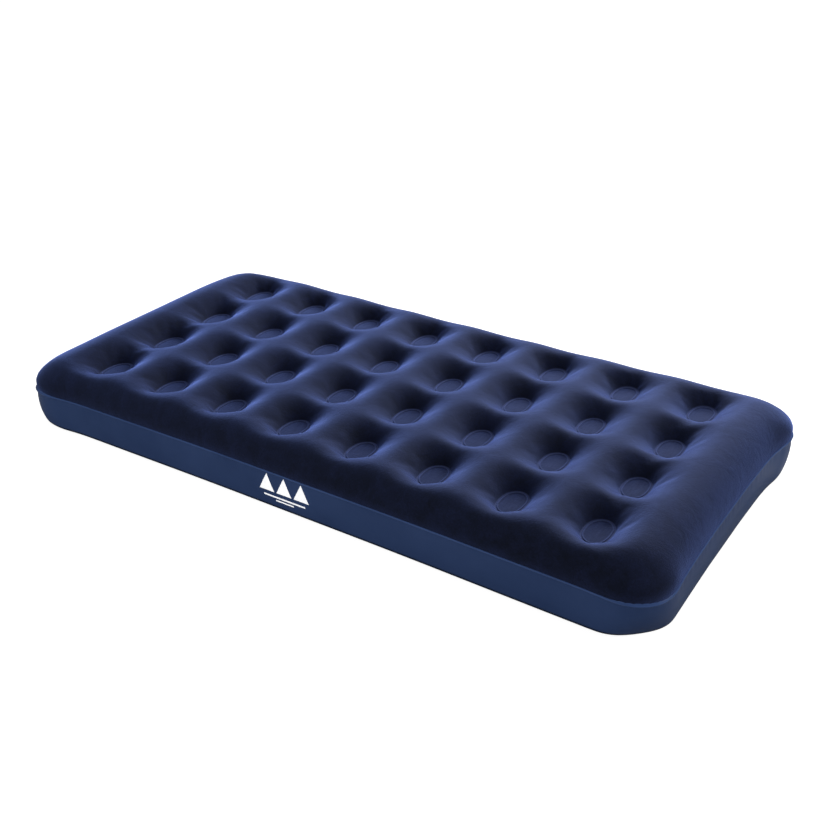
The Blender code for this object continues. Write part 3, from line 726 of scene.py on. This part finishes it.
# ---------------------------------------------------------------------------------------------
# Bottom sheet: plain vinyl that lies on the ground, welded to the side wall's turned-in edge. The
# coil beams' lower welds show on it as 32 long round rings.
# ---------------------------------------------------------------------------------------------
bottom_edge = [(0.0115, 0.0005)]        # inset and height: it curls up to meet the wall
bottom_flat = [(inset, 0.0001) for inset in (0.018, 0.060, 0.110, 0.180, 0.270, 0.400)]
rows = []
for inset, level in bottom_edge + bottom_flat:
    ring = outline(inset, min(foot_corner, (width / 2 - inset) * 0.98))
    rows.append(np.column_stack([*drawn_foot(ring, 1), np.full(len(ring), level)]))
around = len(rows[0])
innermost = range((len(rows) - 1) * around, len(rows) * around)
bottom_faces = ring_faces(0, around, len(rows) - 1) + [tuple(reversed(innermost))]
bottom_mesh = bpy.data.meshes.new("bottom_skin")
bottom_mesh.from_pydata(np.concatenate(rows).tolist(), [], bottom_faces)
bottom_skin = bpy.data.objects.new("bottom_skin", bottom_mesh)
scene.collection.objects.link(bottom_skin)
pick(bottom_skin)
face_out(bottom_skin, 2, -1)

ground_vinyl, ground_tree, ground_shader = new_finish("ground_vinyl", {})
ground_place, ground_tone = cloud_over(
    ground_tree, ground_shader, 14, 5,
    (0.3, (0.0160, 0.0330, 0.0960), 0.7, (0.0210, 0.0410, 0.1180)), 0.38, 0.56)


def ground_step(kind, *values):
    """One step of the weld rings' pattern."""
    step = add_step(ground_tree, "ShaderNodeMath", operation=kind)
    for socket, value in zip(step.inputs, values):
        if isinstance(value, (int, float)):
            socket.default_value = value
        else:
            ground_tree.links.new(value, socket)
    return step.outputs["Value"]


def from_middle(way, pitch):
    """Distance from a weld's middle, one way, as a step."""
    wrapped = ground_step("WRAP", ground_parts.outputs[way], pitch, 0.0)
    return ground_step("ABSOLUTE", ground_step("SUBTRACT", wrapped, pitch / 2))


ground_parts = add_step(ground_tree, "ShaderNodeSeparateXYZ")
past_straight = ground_step("SUBTRACT", from_middle("Y", pitch_y), weld_straight)
squared_y = ground_step("POWER", ground_step("MAXIMUM", past_straight, 0.0), 2.0)
squared_x = ground_step("POWER", from_middle("X", pitch_x), 2.0)
reach = ground_step("SQRT", ground_step("ADD", squared_x, squared_y))
weld_line_radius = 0.0300
off_ring = ground_step("ABSOLUTE", ground_step("SUBTRACT", reach, weld_line_radius))
weld_line = add_step(ground_tree, "ShaderNodeMapRange", {
    "From Min": 0.0005, "From Max": 0.0035, "To Min": 1.0, "To Max": 0.0},
    interpolation_type="SMOOTHSTEP")
ground_tree.links.new(off_ring, weld_line.inputs["Value"])
ground_colour = add_step(ground_tree, "ShaderNodeMix", {"B": (0.0380, 0.0680, 0.1700, 1)},
                         data_type="RGBA")
ground_bump = add_step(ground_tree, "ShaderNodeBump", {"Strength": 0.5, "Distance": 0.0008})
wire(ground_tree,
     (ground_place, "Object", ground_parts, "Vector"),
     (weld_line, "Result", ground_colour, "Factor"),
     (ground_tone, "Color", ground_colour, "A"),
     (ground_colour, "Result", ground_shader, "Base Color"),
     (weld_line, "Result", ground_bump, "Height"),
     (ground_bump, "Normal", ground_shader, "Normal"))
bottom_mesh.materials.append(ground_vinyl)
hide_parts("bottom_sheet")
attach(bottom_skin, "mattress")

# ---------------------------------------------------------------------------------------------
# Coil beams: 32 oval tubes of thin vinyl film inside the bed, welded to the top sheet and the
# bottom sheet by their flanges, with air holes in their walls. They keep their fitted shape.
# ---------------------------------------------------------------------------------------------
film, film_tree, film_shader = new_finish("beam_film", {})
film_place, film_tone = cloud_over(
    film_tree, film_shader, 45, 4, (0.0, (0.20, 0.24, 0.30), 1.0, (0.42, 0.46, 0.52)), 0.25, 0.5)
wire(film_tree, (film_tone, "Color", film_shader, "Base Color"))
for name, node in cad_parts.items():
    if name.startswith("coil_beam"):
        node.material_slots[0].material = film

# ---------------------------------------------------------------------------------------------
# Valve base: a moulded ring of stiff navy vinyl. Its flange is welded on to the side wall round a
# hole in the foot end, and its threaded socket goes in through the wall.
# ---------------------------------------------------------------------------------------------
def turned(name, profile, hollow=True, sides=72):
    """A ring on the valve's axis, drawn out from one (radius, height over the wall) to the next."""
    radius, height = profile[0]
    bpy.ops.object.select_all(action="DESELECT")
    bpy.ops.mesh.primitive_circle_add(
        vertices=sides, radius=radius, location=(mouth.x - height, mouth.y, mouth.z),
        rotation=(0, -math.pi / 2, 0))
    piece = bpy.context.object
    piece.name = piece.data.name = name
    bpy.ops.object.transform_apply(location=True, rotation=True, scale=True)
    bpy.ops.object.mode_set(mode="EDIT")
    bpy.ops.mesh.select_all(action="SELECT")
    for wider, higher in profile[1:]:
        bpy.ops.mesh.extrude_edges_move(TRANSFORM_OT_translate={"value": (height - higher, 0, 0)})
        stretch = wider / radius
        bpy.ops.transform.resize(value=(1, stretch, stretch),
                                 center_override=(mouth.x - higher, mouth.y, mouth.z))
        radius, height = wider, higher
    bpy.ops.mesh.select_all(action="DESELECT")
    bpy.ops.mesh.select_non_manifold()
    if hollow:
        bpy.ops.mesh.bridge_edge_loops()
    else:
        bpy.ops.mesh.fill_holes(sides=0)
    bpy.ops.mesh.select_all(action="SELECT")
    bpy.ops.mesh.normals_make_consistent(inside=False)
    bpy.ops.object.mode_set(mode="OBJECT")
    return piece


def soften(piece, edge):
    """Rounds a moulded piece's edges."""
    pick(piece)
    rounding = piece.modifiers.new("edge", "BEVEL")
    rounding.width = edge
    rounding.segments = 2
    rounding.limit_method = "ANGLE"
    rounding.angle_limit = math.radians(38)
    bpy.ops.object.modifier_apply(modifier="edge")
    bpy.ops.object.shade_smooth_by_angle(angle=math.radians(34))


moulded_skin, skin_in, skin_out = new_effect(
    "moulded_skin", {"Grain Size": 900.0}, ("Clouds", "Grain"))
skin_place = add_step(moulded_skin, "ShaderNodeTexCoord")
skin_clouds = add_step(moulded_skin, "ShaderNodeTexNoise", {"Scale": 110, "Detail": 4})
skin_grain = add_step(moulded_skin, "ShaderNodeTexNoise", {"Detail": 2})
wire(moulded_skin,
     (skin_place, "Object", skin_clouds, "Vector"),
     (skin_place, "Object", skin_grain, "Vector"),
     (skin_in, "Grain Size", skin_grain, "Scale"),
     (skin_clouds, "Fac", skin_out, "Clouds"),
     (skin_grain, "Fac", skin_out, "Grain"))


def moulded(name, deep, pale, smooth, dull, grain_size, grain_depth):
    """A moulded plastic or rubber: two close tones, a cloudy gloss and a fine grain."""
    finish, tree, shader = new_finish(name, {})
    skin = add_step(tree, "ShaderNodeGroup", {"Grain Size": grain_size}, node_tree=moulded_skin)
    tone = two_tones(tree, 0.3, deep, 0.7, pale)
    gloss = add_step(tree, "ShaderNodeMapRange", {"To Min": smooth, "To Max": dull})
    bump = add_step(tree, "ShaderNodeBump", {"Strength": 0.3, "Distance": grain_depth})
    wire(tree,
         (skin, "Clouds", tone, "Fac"),
         (skin, "Clouds", gloss, "Value"),
         (skin, "Grain", bump, "Height"),
         (tone, "Color", shader, "Base Color"),
         (gloss, "Result", shader, "Roughness"),
         (bump, "Normal", shader, "Normal"))
    return finish


base_profile = [
    (0.0205, 0.0018), (0.0240, 0.0018), (0.0248, 0.0015), (0.0256, 0.0018), (0.0272, 0.0018),
    (0.0278, 0.0014), (0.0284, 0.0017), (0.0296, 0.0016), (0.0302, 0.0012), (0.0308, 0.0013),
    (0.0312, 0.0009), (0.0312, 0.0003), (0.0232, 0.0003), (0.0232, -0.0200), (0.0208, -0.0200),
]
thread_pitch = 0.0036
for thread in range(5):
    turn_at = -0.0180 + thread * thread_pitch
    base_profile += [(0.0205, turn_at), (0.0205, turn_at + 0.0012),
                     (0.0208, turn_at + 0.0018), (0.0208, turn_at + 0.0024)]
valve_socket = turned("valve_socket", base_profile)
soften(valve_socket, 0.00012)
valve_socket.data.materials.append(moulded(
    "navy_plastic", (0.0150, 0.0330, 0.0950), (0.0200, 0.0420, 0.1200), 0.30, 0.46, 900, 0.0001))
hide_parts("valve_base")
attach(valve_socket, "mattress")

# ---------------------------------------------------------------------------------------------
# Valve gasket: a soft black rubber ring under the screw-in body's rim. It lies loose on the
# socket's face and goes up and down with the body.
# ---------------------------------------------------------------------------------------------
seal_ring = turned("seal_ring", [
    (0.0210, 0.0033), (0.0224, 0.0035), (0.0238, 0.0033), (0.0238, 0.0021), (0.0210, 0.0021)])
soften(seal_ring, 0.0003)
seal_ring.data.materials.append(moulded(
    "black_seal", (0.010, 0.010, 0.011), (0.020, 0.020, 0.022), 0.55, 0.75, 1400, 0.00008))
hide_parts("valve_gasket")
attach(seal_ring, "valve_seal")

# ---------------------------------------------------------------------------------------------
# Valve body: the part that unscrews. One moulding of navy plastic: a rim with ten finger notches,
# a threaded skirt, a pump port through its middle, and two ears that hold the plug's strap.
# ---------------------------------------------------------------------------------------------
def block(place, size):
    """A plain block, placed from the valve's axis: over the wall, across and up."""
    bpy.ops.object.select_all(action="DESELECT")
    bpy.ops.mesh.primitive_cube_add(
        size=1, location=(mouth.x - place[0], mouth.y + place[1], mouth.z + place[2]), scale=size)
    bpy.ops.object.transform_apply(location=True, rotation=True, scale=True)
    return bpy.context.object


def work_in(piece, other, way):
    """Cuts the other shape out of the piece, or melts it on."""
    pick(piece)
    joint = piece.modifiers.new("joint", "BOOLEAN")
    joint.operation = way
    joint.solver = "EXACT"
    joint.object = other
    bpy.ops.object.modifier_apply(modifier="joint")
    bpy.data.objects.remove(other)


body_profile = [
    (0.0053, 0.0070), (0.0118, 0.0070), (0.0124, 0.0065), (0.0166, 0.0065), (0.0172, 0.0070),
    (0.0228, 0.0070), (0.0238, 0.0067), (0.0245, 0.0059), (0.0245, 0.0036), (0.0200, 0.0036),
]
for thread in range(4):
    turn_at = -0.0012 - thread * thread_pitch
    body_profile += [(0.0200, turn_at), (0.02025, turn_at - 0.0006),
                     (0.02025, turn_at - 0.0012), (0.0200, turn_at - 0.0018)]
body_profile += [
    (0.0200, -0.0160), (0.0172, -0.0160), (0.0172, 0.0040),
    (0.0080, 0.0040), (0.0080, -0.0100), (0.0053, -0.0100),
]
screw_body = turned("screw_body", body_profile)
notch_count = 10
notch_circle = 0.0256
notches = []
for number in range(notch_count):
    angle = 2 * math.pi * (number + 0.5) / notch_count
    bpy.ops.object.select_all(action="DESELECT")
    bpy.ops.mesh.primitive_cylinder_add(
        vertices=24, radius=0.0022, depth=0.02, rotation=(0, math.pi / 2, 0),
        location=(mouth.x - 0.012, mouth.y + notch_circle * math.sin(angle),
                  mouth.z + notch_circle * math.cos(angle)))
    notches.append(bpy.context.object)
bpy.ops.object.select_all(action="DESELECT")
for notch in notches:
    notch.select_set(True)
bpy.ops.object.join()
work_in(screw_body, bpy.context.object, "DIFFERENCE")
for side in (-1, 1):
    work_in(screw_body, block((0.00765, side * 0.0041, 0.0200), (0.0023, 0.0016, 0.0032)), "UNION")
work_in(screw_body, block((-0.0078, 0, 0.00887), (0.0040, 0.0070, 0.00445)), "UNION")
soften(screw_body, 0.0002)
valve_blue = moulded(
    "valve_blue", (0.0180, 0.0390, 0.1150), (0.0240, 0.0500, 0.1450), 0.26, 0.42, 900, 0.0001)
screw_body.data.materials.clear()
screw_body.data.materials.append(valve_blue)
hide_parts("valve_body")
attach(screw_body, "valve_screw")

# ---------------------------------------------------------------------------------------------
# Flap clamp: a small strip of the same plastic, heat-staked under the body's ledge. It pinches the
# flap's root and keeps its fitted shape.
# ---------------------------------------------------------------------------------------------
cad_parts["flap_clamp"].material_slots[0].material = valve_blue

# ---------------------------------------------------------------------------------------------
# Inflation plug: softer pale blue vinyl in one piece, a hollow tapered stopper with a pull tab
# below and a strap above, built straight, which on the real plug bends at the ears. It closes
# the pump port.
# ---------------------------------------------------------------------------------------------
port_plug = turned("port_plug", [
    (0.0026, 0.0045), (0.0028, 0.0060), (0.0028, 0.0082), (0.0031, 0.0085), (0.0072, 0.0085),
    (0.0080, 0.0083), (0.0085, 0.0078), (0.0085, 0.0073), (0.0050, 0.0073), (0.0049, 0.0052),
    (0.0051, 0.0047), (0.0048, 0.0041), (0.0044, 0.0020), (0.0036, 0.0016),
], hollow=False)
work_in(port_plug, block((0.0079, 0, 0.01185), (0.0012, 0.0060, 0.0171)), "UNION")
work_in(port_plug, block((0.0079, 0, -0.0080), (0.0012, 0.0060, 0.0090)), "UNION")
for rib in range(3):
    rib_block = block((0.0086, 0, -0.0094 - rib * 0.0012), (0.0004, 0.0048, 0.0005))
    work_in(port_plug, rib_block, "UNION")
soften(port_plug, 0.0002)
port_plug.data.materials.clear()
port_plug.data.materials.append(moulded(
    "soft_plug", (0.0700, 0.1250, 0.3300), (0.0900, 0.1550, 0.3900), 0.34, 0.50, 700, 0.0001))
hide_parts("inflation_plug")
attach(port_plug, "plug")

# ---------------------------------------------------------------------------------------------
# Check flap: a thin disc of soft rubber film behind the pump port, held by its root. Air from the
# pump pushes it open and the bed's own air shuts it. It keeps its fitted shape.
# ---------------------------------------------------------------------------------------------
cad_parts["check_flap"].material_slots[0].material = moulded(
    "flap_film", (0.075, 0.080, 0.088), (0.130, 0.136, 0.145), 0.40, 0.60, 1200, 0.00006)
